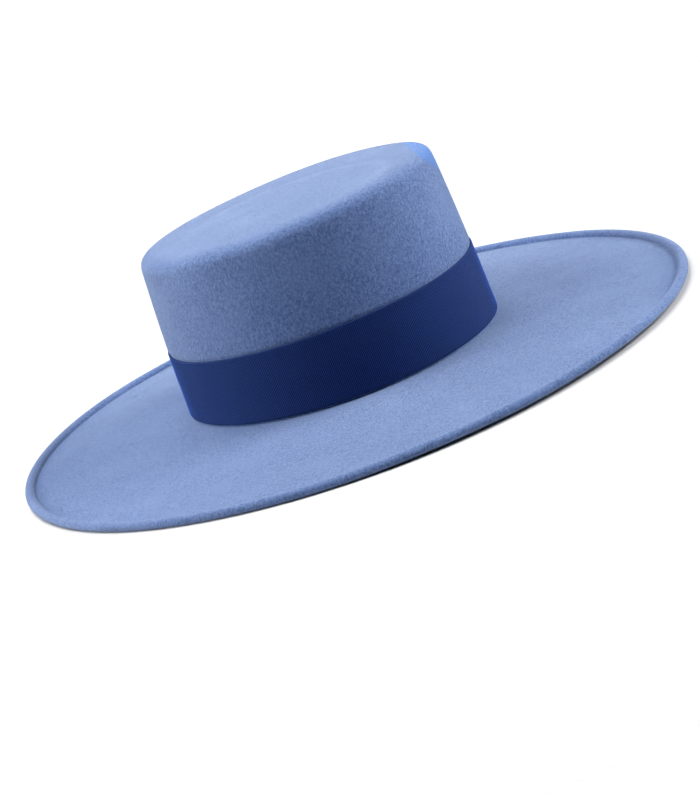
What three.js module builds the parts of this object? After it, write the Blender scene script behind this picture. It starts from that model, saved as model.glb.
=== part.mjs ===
// Cordobes hat: a felt hat with an upright crown and a flat top, a wide flat brim whose edge is rolled
// up and over, and a grosgrain ribbon round the foot of the crown.
// Millimetres, +Z up. The hat stands on its brim at z = 0, its front faces -Y, and the wearer's right
// side is -X. The origin is the middle of its footprint.
import * as THREE from "three";

// Felt, one thickness all over
const feltWall = 2.1;

// Head opening, inside the foot of the crown
const headLength = 194.4;
const headWidth = 169.8;

// Crown, outside
const crownHeight = 102.1; // from the brim up to the flat top
const topLength = 185; // the top's oval, taken as if its edge were sharp
const topWidth = 167.2;
const topLean = 1.6; // how far the middle of the top stands in front of the middle of the foot
const topRise = 3.3; // how much higher the top's front edge is than its middle
const topDome = 1;
const edgeRun = 12.8; // rounding of the top's edge, inwards
const edgeDrop = 8.2; // and downwards
const wallFullness = 1.1; // how far the wall swells at half height
const footFlare = 0.5; // how far the wall spreads at its foot
const footFlareReach = 8; // height over which that spread dies away
const footBend = 2.5; // bend from the wall to the brim, outside radius

// Brim, from the foot of the crown to its outermost edge
const brimFront = 112.7;
const brimBack = 109.4;
const brimSide = 105.7;
const brimFallEnds = 4.6; // how far the upper face falls from the crown to the edge, front and back
const brimFallSides = 6.7;
const rollChannel = 0.98; // radius of the hollow inside the rolled edge
const rollCutAngle = 190; // where the felt's cut edge stops, in degrees round the roll from outside
const restPress = 0.4; // how much of the lowest felt is pressed flat where the hat rests

// Ribbon
const ribbonWidth = 39;
const ribbonThickness = 1;
const ribbonStandoff = 0.5; // from the top of the foot's bend to the ribbon's lower edge
const ribbonPress = 0.7; // how deep the pulled ribbon sinks into the felt
const ribbonPressFade = 1.5; // height over which the felt comes out again above the ribbon
const ribbonGap = 0.3;

// Fineness of the faceted solids
const roundSteps = 64;
const rollSteps = 10;
const channelSteps = 5;
const edgeSteps = 5;
const bendSteps = 4;
const topShares = [0.35, 0.7]; // rings of the flat top, as shares of its reach
const wallShares = [0.88, 0.66, 0.22]; // rings of the wall above the ribbon, from the ribbon upwards
const insideShares = [0.3, 0.7];
const brimShares = [0.16, 0.37, 0.6, 0.84]; // rings of the brim, from the crown outwards
const restLand = 3; // width of the flat land inside the roll

// Sizes that follow from the ones above
const footLength = headLength + 2 * feltWall;
const footWidth = headWidth + 2 * feltWall;
const rollRadius = rollChannel + feltWall;
const footHeight = brimFallSides + feltWall - restPress;
const edgeFoot = crownHeight - edgeDrop;
const ribbonBottom = footBend + ribbonStandoff;
const ribbonTop = ribbonBottom + ribbonWidth;
const pressTop = ribbonTop + ribbonGap;
const pressEnd = pressTop + ribbonPressFade;
const footprintShift = (brimFront - brimBack) / 2;

const { lerp, clamp, degToRad } = THREE.MathUtils;

// A ring of points round the hat: half an oval in front, half an oval behind, each point's height and
// shift along Y given by its angle and its place along the oval.
function ovalRing(front, back, side, place) {
  const ring = [];
  for (let i = 0; i < roundSteps; i++) {
    const angle = (2 * Math.PI * i) / roundSteps;
    const forward = Math.cos(angle);
    const y = -forward * (forward > 0 ? front : back);
    const { height, lean } = place(angle, y);
    const z = Math.max(footHeight + height, 0);
    ring.push(new THREE.Vector3(side * Math.sin(angle), y - lean + footprintShift, z));
  }
  return ring;
}

// A ring of the crown, so far inside its outer wall and so far above its foot. The scale draws it
// towards the crown's middle.
function crownRing(inset, up, scale = 1) {
  const share = clamp(up / crownHeight, 0, 1);
  const flare = footFlare * Math.exp(-Math.max(up, 0) / footFlareReach);
  const swell = flare + 4 * wallFullness * share * (1 - share);
  const halfLength = scale * (lerp(footLength, topLength, share) / 2 + swell - inset);
  const halfWidth = scale * (lerp(footWidth, topWidth, share) / 2 + swell - inset);
  return ovalRing(halfLength, halfLength, halfWidth, (angle, y) => ({
    height: up - (topRise * share * y) / (topLength / 2),
    lean: topLean * share,
  }));
}

// A ring of the brim at a share of the way from the crown's foot to the middle of the roll, moved out
// and up from the upper face.
function brimRing(share, out, up) {
  const reach = (width) => share * (width - rollRadius) + out;
  return ovalRing(
    footLength / 2 + reach(brimFront),
    footLength / 2 + reach(brimBack),
    footWidth / 2 + reach(brimSide),
    (angle) => ({
      height: up - share * lerp(brimFallEnds, brimFallSides, Math.sin(angle) ** 2),
      lean: 0,
    }),
  );
}

// Points on an arc from one angle to another, in degrees, turning the way the angles run.
function arc(x, y, xRadius, yRadius, from, to, steps) {
  const curve = new THREE.EllipseCurve(
    x, y, xRadius, yRadius, degToRad(from), degToRad(to), to < from,
  );
  return curve.getPoints(steps);
}

// Skins rings into one closed solid. A ring of one point is a pole, and where the first ring isn't a
// pole the last ring joins it.
function skin(rings) {
  const positions = [];
  const starts = [];
  for (const ring of rings) {
    starts.push(positions.length / 3);
    for (const point of ring) positions.push(point.x, point.y, point.z);
  }
  const bands = rings[0].length === 1 ? rings.length - 1 : rings.length;
  const index = [];
  for (let band = 0; band < bands; band++) {
    const next = (band + 1) % rings.length;
    const vertex = (ring, i) => starts[ring] + (i % rings[ring].length);
    for (let i = 0; i < roundSteps; i++) {
      const [a, b] = [vertex(band, i), vertex(band, i + 1)];
      const [c, d] = [vertex(next, i), vertex(next, i + 1)];
      if (c !== d) index.push(a, c, d);
      if (a !== b) index.push(a, d, b);
    }
  }
  const geometry = new THREE.BufferGeometry();
  geometry.setAttribute("position", new THREE.Float32BufferAttribute(positions, 3));
  geometry.setIndex(index);
  geometry.computeVertexNormals();
  return geometry;
}

// The one point where the top closes, over the middle of the crown.
function topPole(up) {
  return [crownRing(0, up, 0)[0]];
}

// Crown, brim and rolled edge, blocked from one piece of felt. The section runs from the middle of the
// top down the outside, out along the brim, round the roll, and back underneath and inside.
function feltSection() {
  const outsideTop = topShares.map((share) =>
    crownRing(edgeRun, crownHeight + topDome * (1 - share ** 2), share),
  );
  const outsideEdge = arc(edgeRun, edgeFoot, edgeRun, edgeDrop, 90, 180, edgeSteps);
  const outsideWall = wallShares.map((share) => [0, lerp(pressEnd, edgeFoot, share)]);
  const press = [[0, pressEnd], [ribbonPress, pressTop], [ribbonPress, ribbonTop / 2]];
  const outsideBend = arc(ribbonPress - footBend, footBend, footBend, footBend, 0, -90, bendSteps);
  const channel = arc(0, rollChannel, rollChannel, rollChannel, -90, rollCutAngle, channelSteps);
  const roll = arc(0, rollChannel, rollRadius, rollRadius, rollCutAngle, -90, rollSteps);
  const insideBendRadius = footBend + feltWall;
  const insideBend = arc(-footBend, footBend, insideBendRadius, insideBendRadius, -90, 0, bendSteps);
  const insideFoot = arc(
    edgeRun, edgeFoot, edgeRun - feltWall, edgeDrop - feltWall, 180, 90, edgeSteps,
  );
  return [
    topPole(crownHeight + topDome),
    ...outsideTop,
    ...outsideEdge.map((p) => crownRing(p.x, p.y)),
    ...outsideWall.map(([inset, up]) => crownRing(inset, up)),
    ...press.map(([inset, up]) => crownRing(inset, up)),
    ...outsideBend.map((p) => crownRing(p.x, p.y)),
    ...brimShares.map((share) => brimRing(share, 0, 0)),
    ...channel.map((p) => brimRing(1, p.x, p.y)),
    ...roll.map((p) => brimRing(1, p.x, p.y)),
    brimRing(1, -restLand, -feltWall),
    ...brimShares.toReversed().map((share) => brimRing(share, 0, -feltWall)),
    ...insideBend.map((p) => crownRing(p.x, p.y)),
    ...insideShares.map((share) => crownRing(feltWall, lerp(footBend, edgeFoot, share))),
    ...insideFoot.map((p) => crownRing(p.x, p.y)),
    topPole(crownHeight - feltWall),
  ];
}

// A closed loop of ribbon, pulled tight so that it sinks a little into the felt.
function ribbonSection() {
  const inside = ribbonPress - ribbonGap;
  const outside = inside - ribbonThickness;
  const middle = (ribbonBottom + ribbonTop) / 2;
  return [
    crownRing(outside, ribbonTop),
    crownRing(outside, middle),
    crownRing(outside, ribbonBottom),
    crownRing(inside, ribbonBottom),
    crownRing(inside, middle),
    crownRing(inside, ribbonTop),
  ];
}

function feltMaterial() {
  return new THREE.MeshStandardMaterial({ color: 0x6d8fd0, roughness: 0.95, metalness: 0 });
}

function ribbonMaterial() {
  return new THREE.MeshStandardMaterial({ color: 0x1b2c66, roughness: 0.6, metalness: 0 });
}

const hat = new THREE.Group();

const feltBody = new THREE.Mesh(skin(feltSection()), feltMaterial());
feltBody.name = "felt_body";
hat.add(feltBody);

const ribbonBand = new THREE.Mesh(skin(ribbonSection()), ribbonMaterial());
ribbonBand.name = "ribbon_band";
hat.add(ribbonBand);

export default hat;
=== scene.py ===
# A cordobes hat in blue wool felt with a navy grosgrain ribbon, standing on its brim.
# Metres, +Z up, the hat's front towards -Y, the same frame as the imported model.
import math

import bpy
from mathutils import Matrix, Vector, noise


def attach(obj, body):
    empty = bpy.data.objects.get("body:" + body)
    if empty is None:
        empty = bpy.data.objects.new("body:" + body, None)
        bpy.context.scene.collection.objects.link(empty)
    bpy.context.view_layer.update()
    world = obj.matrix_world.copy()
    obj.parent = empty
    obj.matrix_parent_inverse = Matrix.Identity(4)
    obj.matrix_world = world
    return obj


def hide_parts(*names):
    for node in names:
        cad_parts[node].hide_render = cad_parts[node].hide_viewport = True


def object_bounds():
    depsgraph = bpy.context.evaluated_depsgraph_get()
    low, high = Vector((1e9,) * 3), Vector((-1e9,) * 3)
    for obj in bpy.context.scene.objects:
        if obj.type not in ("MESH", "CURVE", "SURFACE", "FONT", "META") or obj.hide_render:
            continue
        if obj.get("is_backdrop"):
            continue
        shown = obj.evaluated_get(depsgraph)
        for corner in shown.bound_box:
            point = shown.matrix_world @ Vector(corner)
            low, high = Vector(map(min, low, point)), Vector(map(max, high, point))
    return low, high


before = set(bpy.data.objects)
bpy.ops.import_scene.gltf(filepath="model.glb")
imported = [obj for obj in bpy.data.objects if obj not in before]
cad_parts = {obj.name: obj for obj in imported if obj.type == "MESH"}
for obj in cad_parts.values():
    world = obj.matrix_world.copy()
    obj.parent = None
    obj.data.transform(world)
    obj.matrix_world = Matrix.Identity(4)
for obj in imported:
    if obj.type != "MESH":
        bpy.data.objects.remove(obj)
cad_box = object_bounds()
bpy.ops.object.select_all(action="DESELECT")


# Camera: a little above the brim, looking at the hat's front right, and turned about its own axis so
# that the hat is tilted as in the photograph.
bpy.ops.object.camera_add(
    location=(-0.92823, -0.93046, 0.35149),
    rotation=[math.radians(turn) for turn in (73.3026, 20.9853, -50.8111)],
)
camera = bpy.context.object
camera.name = "camera"
camera.data.lens = 105.594
camera.data.sensor_width = 36
camera.data.clip_start = 0.05
camera.data.clip_end = 60
bpy.context.scene.camera = camera


# Felt body: one piece of brushed wool felt, steamed and pulled over a block. That makes the upright
# crown with its flat top and the wide brim, whose edge is rolled up and over and pressed on the brim.
FELT = 0.0021
FOOT_HALF_WIDTH = 0.087
FOOT_HALF_LENGTH = 0.0993
FOOT_HEIGHT = 0.0084
FOOT_BEND = 0.0012
FOOT_LIFT = 0.0015
FOOT_FLARE = 0.0005
FLARE_REACH = 0.008
CROWN_HEIGHT = 0.1021
TOP_HALF_WIDTH = 0.0836
TOP_HALF_LENGTH = 0.0925
TOP_LEAN = 0.0016
TOP_RISE = 0.0033
TOP_DOME = 0.001
EDGE_RUN = 0.015
EDGE_DROP = 0.0095
EDGE_SQUARENESS = 3
WALL_FULLNESS = 0.0011
BRIM_FRONT = 0.1127
BRIM_BACK = 0.1094
BRIM_SIDE = 0.1057
BRIM_FALL_ENDS = 0.0046
BRIM_FALL_SIDES = 0.0067
ROLL = 0.00308
ROLL_DOWN = 0.0021
ROLL_UP = 0.0032
RIBBON_BOTTOM = 0.003
RIBBON_TOP = 0.042
RIBBON_SINKS = 0.0007
UNEVENNESS = 0.0005
BRIM_WAVES = 11
CROWN_WAVES = 16
BRIM_HALF = (BRIM_FRONT + BRIM_BACK) / 2
BRIM_SHIFT = (BRIM_FRONT - BRIM_BACK) / 2

# Where the rolled edge meets the brim: how far inwards of the roll, and how high above the brim
ROLL_MEETS_BRIM = ((0.00002, 0.0003), (0.0001, 0.00013), (0.00026, 0.00003), (0.0006, 0))

# Points round each line of the felt, steps on each of its bends, and where the lines between the
# bends lie: heights on the crown's wall, and shares of the reach of the top and of the brim. Above the
# ribbon, the share is how much of its press on the felt is left, and the height starts at its edge.
ROUND = 160
TOP_EDGE_STEPS = 12
INSIDE_EDGE_STEPS = 7
FOOT_STEPS = 5
ROLL_STEPS = 18
INSIDE_TOP = (0.04, 0.2, 0.43, 0.69, 0.93)
INSIDE_WALL = (0.075, 0.058, 0.043)
INSIDE_FOOT = (0.04, 0.025, 0.009)
UNDERSIDE = (0.08, 0.2, 0.37, 0.55, 0.74, 0.9, 0.975)
UPPER_SIDE = (0.92, 0.84, 0.72, 0.6, 0.48, 0.36, 0.25, 0.15, 0.07)
BEHIND_RIBBON = (0.008, 0.022, 0.036, RIBBON_TOP)
ABOVE_RIBBON = ((0.5, 0.0008), (0, 0.0017))
WALL = (0.0455, 0.051, 0.059, 0.067, 0.075, 0.083)
TOP = (0.93, 0.82, 0.69, 0.56, 0.43, 0.31, 0.2, 0.1, 0.04)


def between(start, stop, share):
    return start + (stop - start) * share


def crown_line(inset, up):
    """Half width, half length, height and share of the brim's reach of a line round the crown, so far
    inside its outer face."""
    share = min(max(up / CROWN_HEIGHT, 0), 1)
    out = FOOT_FLARE * math.exp(-max(up, 0) / FLARE_REACH)
    out += 4 * WALL_FULLNESS * share * (1 - share) - inset
    half_width = between(FOOT_HALF_WIDTH, TOP_HALF_WIDTH, share) + out
    half_length = between(FOOT_HALF_LENGTH, TOP_HALF_LENGTH, share) + out
    return half_width, half_length, up, 0


def brim_line(share, out=0, up=0):
    """The same for a line round the brim, at a share of its reach and so far out and up from there."""
    half_width = FOOT_HALF_WIDTH + share * (BRIM_SIDE - ROLL) + out
    half_length = FOOT_HALF_LENGTH + share * (BRIM_HALF - ROLL) + out
    return half_width, half_length, up, share


def arc(start, stop, steps, run, rise, squareness=2):
    """Points on an arc between two angles in degrees. 2 makes it an oval, and more makes it squarer."""
    for step in range(steps + 1):
        angle = math.radians(between(start, stop, step / steps))
        across, up = math.cos(angle), math.sin(angle)
        across = math.copysign(abs(across) ** (2 / squareness), across)
        up = math.copysign(abs(up) ** (2 / squareness), up)
        yield run * across, rise * up


def extrude_lines(name, around, lines):
    """A piece in edit mode, with one ring of points for each line and the last ring selected."""
    bpy.ops.object.select_all(action="DESELECT")
    bpy.ops.mesh.primitive_circle_add(vertices=around, radius=1, enter_editmode=True)
    piece = bpy.context.object
    piece.name = name
    piece.data.name = name
    width, length, up, _ = lines[0]
    bpy.ops.transform.resize(value=(width, length, 1), center_override=(0, 0, 0))
    bpy.ops.transform.translate(value=(0, 0, up))
    for line, next_line in zip(lines, lines[1:]):
        rise = next_line[2] - line[2]
        bpy.ops.mesh.extrude_edges_move(TRANSFORM_OT_translate={"value": (0, 0, rise)})
        stretch = (next_line[0] / line[0], next_line[1] / line[1], 1)
        bpy.ops.transform.resize(value=stretch, center_override=(0, 0, 0))
    bpy.ops.object.mode_set(mode="OBJECT")
    return piece


def block(vertices, around, lines):
    """Steams the rings over the hat block: the brim falls towards its sides, the crown's top leans
    and rises to the front, and nothing is quite even."""
    for number, vertex in enumerate(vertices):
        width, length, up, share = lines[number // around]
        spot = vertex.co.copy()
        if share > 0:
            spot.z -= share * between(BRIM_FALL_ENDS, BRIM_FALL_SIDES, (spot.x / width) ** 2)
            spot.z += FOOT_LIFT * (1 - share) ** 3
            wave = noise.noise(Vector((spot.x * BRIM_WAVES, spot.y * BRIM_WAVES, 4)))
            spot.z += UNEVENNESS * share * wave
            spot.y -= share * BRIM_SHIFT * abs(spot.y) / length
        else:
            share = min(max(up / CROWN_HEIGHT, 0), 1)
            wave = noise.noise(Vector((spot.x, spot.y, up)) * CROWN_WAVES)
            swell = UNEVENNESS * share * wave
            spot.z -= TOP_RISE * share * spot.y / TOP_HALF_LENGTH - swell
            spot.x *= 1 + swell / width
            spot.y *= 1 + swell / length
            spot.y -= TOP_LEAN * share
        vertex.co = spot + Vector((0, BRIM_SHIFT, FOOT_HEIGHT))


def top_line(share, down=0):
    """A line of the flat top, at a share of its reach and so far under its upper face."""
    half_width, half_length, up, _ = crown_line(EDGE_RUN, CROWN_HEIGHT)
    return half_width * share, half_length * share, up - down + TOP_DOME * (1 - share**2), 0


def top_edge(start, stop, steps, inset=0):
    """Lines round the top's rounded edge, so far inside its outer face."""
    for run, rise in arc(start, stop, steps, EDGE_RUN - inset, EDGE_DROP - inset, EDGE_SQUARENESS):
        yield crown_line(EDGE_RUN + run, CROWN_HEIGHT - EDGE_DROP + rise)


def foot_bend(start, stop, radius):
    """Lines round the bend from the crown's wall to the brim."""
    for run, rise in arc(start, stop, FOOT_STEPS, radius, radius):
        yield crown_line(RIBBON_SINKS - FOOT_BEND + run, FOOT_LIFT + FOOT_BEND + rise)


# From the middle of the top down the inside, out under the brim, round its rolled edge, back over the
# brim and up the outside to the middle of the top
felt_lines = [top_line(share, FELT) for share in INSIDE_TOP]
felt_lines += top_edge(90, 180, INSIDE_EDGE_STEPS, FELT)
felt_lines += [crown_line(FELT, up) for up in INSIDE_WALL]
felt_lines += [crown_line(FELT + RIBBON_SINKS, up) for up in INSIDE_FOOT]
felt_lines += foot_bend(0, -90, FOOT_BEND + FELT)
felt_lines += [brim_line(share, 0, -FELT) for share in UNDERSIDE]
felt_lines += [
    brim_line(1, run, (ROLL_UP - ROLL_DOWN) / 2 + rise)
    for run, rise in arc(-90, 180, ROLL_STEPS, ROLL, (ROLL_UP + ROLL_DOWN) / 2)
]
felt_lines += [brim_line(1, -ROLL - out, up) for out, up in ROLL_MEETS_BRIM]
felt_lines += [brim_line(share) for share in UPPER_SIDE]
felt_lines += foot_bend(-90, 0, FOOT_BEND)
felt_lines += [crown_line(RIBBON_SINKS, up) for up in BEHIND_RIBBON]
felt_lines += [crown_line(RIBBON_SINKS * share, RIBBON_TOP + up) for share, up in ABOVE_RIBBON]
felt_lines += [crown_line(0, up) for up in WALL]
felt_lines += top_edge(180, 90, TOP_EDGE_STEPS)
felt_lines += [top_line(share) for share in TOP]

felt = extrude_lines("felt_hat", ROUND, felt_lines)
block(felt.data.vertices, ROUND, felt_lines)

# The first and the last line each close in one point, in the middle of the top
for end in (len(felt_lines) - 1, 0):
    bpy.ops.object.mode_set(mode="EDIT")
    bpy.ops.mesh.select_all(action="DESELECT")
    bpy.ops.object.mode_set(mode="OBJECT")
    for number in range(end * ROUND, (end + 1) * ROUND):
        felt.data.vertices[number].select = True
    bpy.ops.object.mode_set(mode="EDIT")
    bpy.ops.mesh.extrude_edges_move()
    bpy.ops.mesh.merge(type="CENTER")
bpy.ops.mesh.select_all(action="SELECT")
bpy.ops.mesh.normals_make_consistent(inside=False)
bpy.ops.object.mode_set(mode="OBJECT")
soften = felt.modifiers.new("soften", "SUBSURF")
soften.levels = 1
soften.render_levels = 1
bpy.ops.object.modifier_apply(modifier=soften.name)
for vertex in felt.data.vertices:
    vertex.co.z = max(vertex.co.z, 0)
bpy.ops.object.shade_smooth()


class Value:
    """One output of a node. Sums on it add Math nodes, and node() adds any other node."""

    def __init__(self, tree, socket):
        self.tree = tree
        self.socket = socket

    def node(self, kind, settings, inputs, output=0):
        node = self.tree.nodes.new(kind)
        for name, setting in settings.items():
            setattr(node, name, setting)
        for name, value in inputs.items():
            if isinstance(value, Value):
                self.tree.links.new(value.socket, node.inputs[name])
            else:
                node.inputs[name].default_value = value
        return Value(self.tree, node.outputs[output])

    def other(self, output):
        return Value(self.tree, self.socket.node.outputs[output])

    def math(self, operation, *values):
        inputs = dict(enumerate(values))
        return self.node("ShaderNodeMath", {"operation": operation}, inputs)

    def __add__(self, value):
        return self.math("ADD", self, value)

    def __radd__(self, value):
        return self.math("ADD", value, self)

    def __sub__(self, value):
        return self.math("SUBTRACT", self, value)

    def __rsub__(self, value):
        return self.math("SUBTRACT", value, self)

    def __mul__(self, value):
        return self.math("MULTIPLY", self, value)

    def __rmul__(self, value):
        return self.math("MULTIPLY", value, self)

    def __truediv__(self, value):
        return self.math("DIVIDE", self, value)

    def __rtruediv__(self, value):
        return self.math("DIVIDE", value, self)

    def __pow__(self, value):
        return self.math("POWER", self, value)

    def __rpow__(self, value):
        return self.math("POWER", value, self)

    def rise(self, low, high):
        """0 up to low, 1 from high on, and smooth between them."""
        inputs = {"Value": self, "From Min": low, "From Max": high}
        return self.node("ShaderNodeMapRange", {"interpolation_type": "SMOOTHSTEP"}, inputs)

    def speckle(self, scale, detail=2, stretch=(1, 1, 1), swirl=0):
        """Noise from 0 to 1 over a place. Its grains are about 1 / scale metres, and a swirl curls
        them."""
        place = self.node("ShaderNodeVectorMath", {"operation": "MULTIPLY"}, {0: self, 1: stretch})
        inputs = {"Vector": place, "Scale": scale, "Detail": detail, "Distortion": swirl}
        return self.node("ShaderNodeTexNoise", {}, inputs)

    def tint(self, share, colour):
        """This colour, mixed with another one by a share."""
        inputs = {0: share, 6: self, 7: colour}
        return self.node("ShaderNodeMix", {"data_type": "RGBA"}, inputs, 2)


def new_finish(name, constants):
    """A material, its shader with these constants, and the place on the piece that its patterns
    read."""
    finish = bpy.data.materials.new(name)
    finish.use_nodes = True
    tree = finish.node_tree
    shader = tree.nodes["Principled BSDF"]
    for socket, constant in constants.items():
        shader.inputs[socket].default_value = constant
    place = Value(tree, tree.nodes.new("ShaderNodeTexCoord").outputs["Object"])
    return finish, shader, place


def connect(value, shader, name):
    value.tree.links.new(value.socket, shader.inputs[name])


# Blues of the wool: its own, the gaps and the tips of its nap, lighter clouds, broad darker shades, a
# painted highlight along the crease and painted shade beside it, and the patch
WOOL_BLUE = (0.103, 0.171, 0.375, 1)
GAPS = (0.033, 0.06, 0.151, 1)
TIPS = (0.184, 0.27, 0.49, 1)
CLOUDS = (0.14, 0.214, 0.415, 1)
SHADES = (0.065, 0.116, 0.286, 1)
PAINTED_CREASE_HIGHLIGHT = (0.179, 0.254, 0.426, 1)
PAINTED_SHADE_BESIDE_CREASE = (0.054, 0.097, 0.241, 1)
PATCH = (0.058, 0.158, 0.45, 1)

# Crease: the middle, half width and half length of the oval that the block pressed into the top. The
# crease has no relief of its own. A painted highlight runs along it, with painted shade just outside
# it. It shows on the wearer's left half only.
CREASE_X = -0.001
CREASE_Y = -0.012
CREASE_HALF_WIDTH = 0.039
CREASE_HALF_LENGTH = 0.063

# Patch: the felt beyond a slanting plane, which cuts off the top's edge in front
PATCH_SLANT = (0.636, -0.576, 0.515)
PATCH_STARTS = 0.1249
PATCH_FULL = 0.1259

wool, wool_shader, place = new_finish(
    "brushed_wool_felt",
    {
        "Roughness": 0.95,
        "Specular IOR Level": 0.2,
        "Sheen Weight": 0.272,
        "Sheen Roughness": 0.45,
        "Sheen Tint": (0.95, 1, 0.85, 1),
    },
)
hairs = place.speckle(1700, detail=3, stretch=(1, 1, 0.6), swirl=1.4)
tufts = place.speckle(700, detail=3, stretch=(1, 1, 0.75))
nap = hairs * 0.6 + tufts * 0.4
clouds = place.speckle(38, detail=3)
shades = place.speckle(9)
axes = place.node("ShaderNodeSeparateXYZ", {}, {0: place})
width, length, up = axes.other("X"), axes.other("Y"), axes.other("Z")

crease = ((width - CREASE_X) / CREASE_HALF_WIDTH) ** 2
crease += ((length - CREASE_Y) / CREASE_HALF_LENGTH) ** 2
crease = crease**0.5 - 1
left_half = up.rise(0.1, 0.104) * width.rise(-0.016, 0.002)
# Painted highlight on the crease line, and painted shade in a band just outside it
painted_highlight = crease.math("ABSOLUTE", crease).rise(0.11, 0.01) * left_half
painted_shade_beside = crease.rise(0.06, 0.12) * crease.rise(0.3, 0.18) * left_half
patch = width * PATCH_SLANT[0] + length * PATCH_SLANT[1] + up * PATCH_SLANT[2]
patch = (patch + place.speckle(70) * 0.0025).rise(PATCH_STARTS, PATCH_FULL) * up.rise(0.06, 0.07)

colour = place.node("ShaderNodeRGB", {}, {})
colour.socket.default_value = WOOL_BLUE
colour = colour.tint(nap.rise(0.56, 0.34) * 0.8, GAPS)
colour = colour.tint(nap.rise(0.48, 0.66) * 0.8, TIPS)
colour = colour.tint(clouds.rise(0.42, 0.68) * 0.3, CLOUDS)
colour = colour.tint(shades.rise(0.58, 0.38) * 0.2, SHADES)
# The crease: its painted highlight, then the painted shade beside it
colour = colour.tint(painted_highlight * 0.26, PAINTED_CREASE_HIGHLIGHT)
colour = colour.tint(painted_shade_beside * 0.16, PAINTED_SHADE_BESIDE_CREASE)
colour = colour.tint(patch * 0.92, PATCH)
connect(colour, wool_shader, "Base Color")
relief = place.node("ShaderNodeBump", {}, {"Strength": 1, "Distance": 0.0009, "Height": nap})
connect(relief, wool_shader, "Normal")
felt.data.materials.append(wool)
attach(felt, "root")
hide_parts("felt_body")


# Ribbon: a closed loop of navy grosgrain, 39 mm wide, pulled tight round the foot of the crown so
# that it sinks a little into the felt. Thick weft threads make its upright ribs, about 1 mm apart,
# and turn back at the two edges.
RIBS = 580
RIB_SHAPE = (0, 0.3, 1, 0.3)
RIB_DEPTH = 0.00025
RIBBON_ROUND = RIBS * len(RIB_SHAPE)
RIBBON_PROUD = 0.0006
RIBBON_CLOTH = 0.0011
WELD = 0.00001

# How far the cloth's face falls back: over most of its width, and at heights from its edges
FACE_FALL = 0.00005
EDGE_FALL = ((0, 0.0002), (0.0003, 0.00004), (0.0009, 0), (0.0015, FACE_FALL))

inner_rows = [(up, RIBBON_CLOTH) for up in (RIBBON_TOP, RIBBON_TOP / 2, RIBBON_BOTTOM)]
outer_rows = [(RIBBON_BOTTOM + up, fall) for up, fall in EDGE_FALL]
outer_rows += [(between(RIBBON_BOTTOM, RIBBON_TOP, share), FACE_FALL) for share in (0.35, 0.65)]
outer_rows += [(RIBBON_TOP - up, fall) for up, fall in reversed(EDGE_FALL)]
ribbon_rows = inner_rows + outer_rows + inner_rows[:1]
ribbon_lines = [crown_line(fall - RIBBON_PROUD, up) for up, fall in ribbon_rows]
ribbon = extrude_lines("grosgrain_ribbon", RIBBON_ROUND, ribbon_lines)
outer_face = range(len(inner_rows) * RIBBON_ROUND, (len(ribbon_rows) - 1) * RIBBON_ROUND)
for number in outer_face:
    vertex = ribbon.data.vertices[number]
    hollow = RIB_DEPTH * RIB_SHAPE[number % len(RIB_SHAPE)]
    middle = Vector((0, 0, vertex.co.z))
    vertex.co += (middle - vertex.co).normalized() * hollow
block(ribbon.data.vertices, RIBBON_ROUND, ribbon_lines)

# The weave runs once round the ribbon in U, where the last face joins the first, and up it in V
weave = ribbon.data.uv_layers.new(name="weave")
for face in ribbon.data.polygons:
    columns = [vertex % RIBBON_ROUND for vertex in face.vertices]
    for loop, vertex, column in zip(face.loop_indices, face.vertices, columns):
        if column == 0 and RIBBON_ROUND - 1 in columns:
            column = RIBBON_ROUND
        row = ribbon_rows[vertex // RIBBON_ROUND][0] - RIBBON_BOTTOM
        weave.data[loop].uv = (column / RIBBON_ROUND, row / (RIBBON_TOP - RIBBON_BOTTOM))
bpy.ops.object.mode_set(mode="EDIT")
bpy.ops.mesh.select_all(action="SELECT")
bpy.ops.mesh.remove_doubles(threshold=WELD)
bpy.ops.mesh.normals_make_consistent(inside=False)
bpy.ops.object.mode_set(mode="OBJECT")
bpy.ops.object.shade_smooth()

# Blues of the ribbon: its own, painted shade in the hollows between its ribs, its threads, and uneven
# dye
NAVY = (0.0075, 0.061, 0.335, 1)
SHADED_RIB_HOLLOWS = (0.0002, 0.0005, 0.0025, 1)
THREADS = (0.0037, 0.0148, 0.06, 1)
DYE = (0.0073, 0.0235, 0.082, 1)

grosgrain, grosgrain_shader, place = new_finish(
    "navy_grosgrain",
    {
        "Roughness": 0.7,
        "Specular IOR Level": 0.18,
        "Sheen Weight": 0.23,
        "Sheen Roughness": 0.35,
        "Sheen Tint": (0.08, 0.28, 1, 1),
    },
)
along = place.node("ShaderNodeUVMap", {"uv_map": "weave"}, {})
along = along.node("ShaderNodeSeparateXYZ", {}, {0: along})
rib = along.math("COSINE", along * (2 * math.pi * RIBS)) * 0.5 + 0.5
dye = place.speckle(60)
thread = place.speckle(900)
colour = place.node("ShaderNodeRGB", {}, {})
colour.socket.default_value = NAVY
# Painted shade: the hollows between the ribs are tinted nearly black
colour = colour.tint(rib.rise(0.95, 0.5), SHADED_RIB_HOLLOWS)
colour = colour.tint(thread.rise(0.42, 0.66) * 0.35, THREADS)
colour = colour.tint(dye.rise(0.4, 0.7) * 0.12, DYE)
connect(colour, grosgrain_shader, "Base Color")
relief = place.node("ShaderNodeBump", {}, {"Strength": 0.4, "Distance": 0.0002, "Height": thread})
connect(relief, grosgrain_shader, "Normal")
ribbon.data.materials.append(grosgrain)
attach(ribbon, "root")
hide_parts("ribbon_band")


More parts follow.
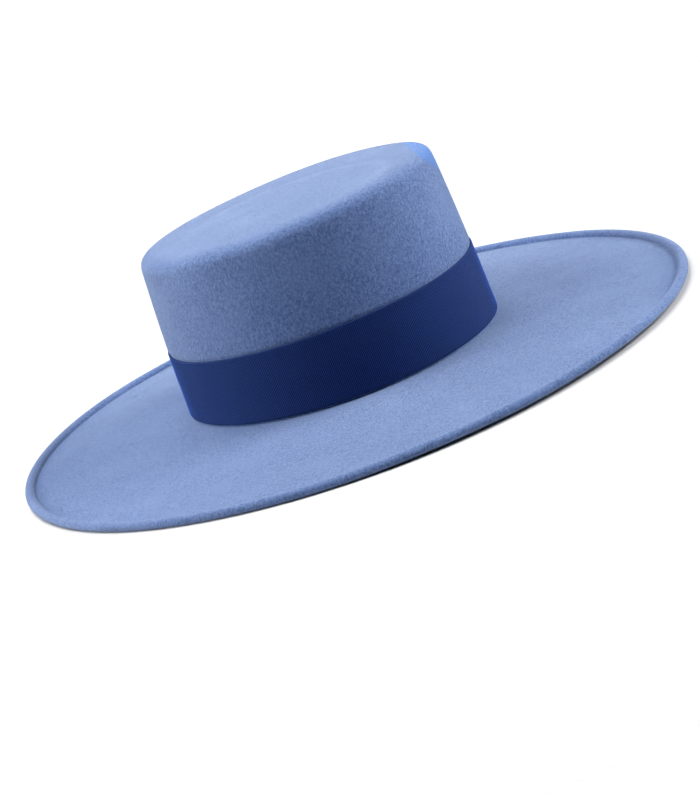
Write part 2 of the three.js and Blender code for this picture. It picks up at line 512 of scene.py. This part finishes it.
# Floor and light: a round of plain pale paper under soft round lamps, one overhead and the others
# round the hat. The white behind it is seen by the camera alone and throws no light on the hat.
FLOOR_RADIUS = 0.6
HAT_MIDDLE = (0, 0, 0.05)
BACKGROUND_STRENGTH = 1.15

bpy.ops.mesh.primitive_circle_add(vertices=96, radius=FLOOR_RADIUS, fill_type="NGON")
floor = bpy.context.object
floor.name = "floor"
paper, paper_shader, place = new_finish(
    "white_paper",
    {"Base Color": (0.58, 0.58, 0.58, 1), "Roughness": 0.9, "Specular IOR Level": 0.1},
)
floor.data.materials.append(paper)
floor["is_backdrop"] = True

# Each lamp's place, what it points at, its width in metres and its power in watts
LIGHTS = {
    "overhead": ((0, 0, 1.7), HAT_MIDDLE, 0.8, 18.2),
    "high_right": ((0.655, -1.135, 0.968), HAT_MIDDLE, 0.8, 19.5),
    "low_right": ((1.355, -0.783, 0.383), HAT_MIDDLE, 0.8, 7.9),
    "low_front": ((1.107, -1.107, 0.383), HAT_MIDDLE, 0.8, 10.7),
    "low_left": ((-1.229, 1.229, 0.516), HAT_MIDDLE, 0.8, 9.8),
    "wide_left": ((-0.866, 1.5, 1.05), HAT_MIDDLE, 1.8, 32),
    "small_left": ((-0.346, 0.144, 0.7), HAT_MIDDLE, 0.35, 3),
    "floor_back": ((2.6, 2.8, 2.6), (2.6, 2.8, 0), 3.5, 130),
}
for name, (spot, aim, size, power) in LIGHTS.items():
    bpy.ops.object.light_add(type="AREA", location=spot)
    light = bpy.context.object
    light.name = name
    light.data.shape = "DISK"
    light.data.size = size
    light.data.energy = power
    light.rotation_euler = (Vector(aim) - Vector(spot)).to_track_quat("-Z", "Y").to_euler()
world = bpy.data.worlds.new("studio")
world.use_nodes = True
background = world.node_tree.nodes["Background"]
background.inputs["Color"].default_value = (1, 1, 1, 1)
background.inputs["Strength"].default_value = BACKGROUND_STRENGTH
world.cycles_visibility.diffuse = False
world.cycles_visibility.glossy = False
bpy.context.scene.world = world
bpy.context.scene.view_settings.view_transform = "Standard"

boxes = {"cad": cad_box, "visual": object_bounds()}
{name: [list(corner) for corner in box] for name, box in boxes.items()}
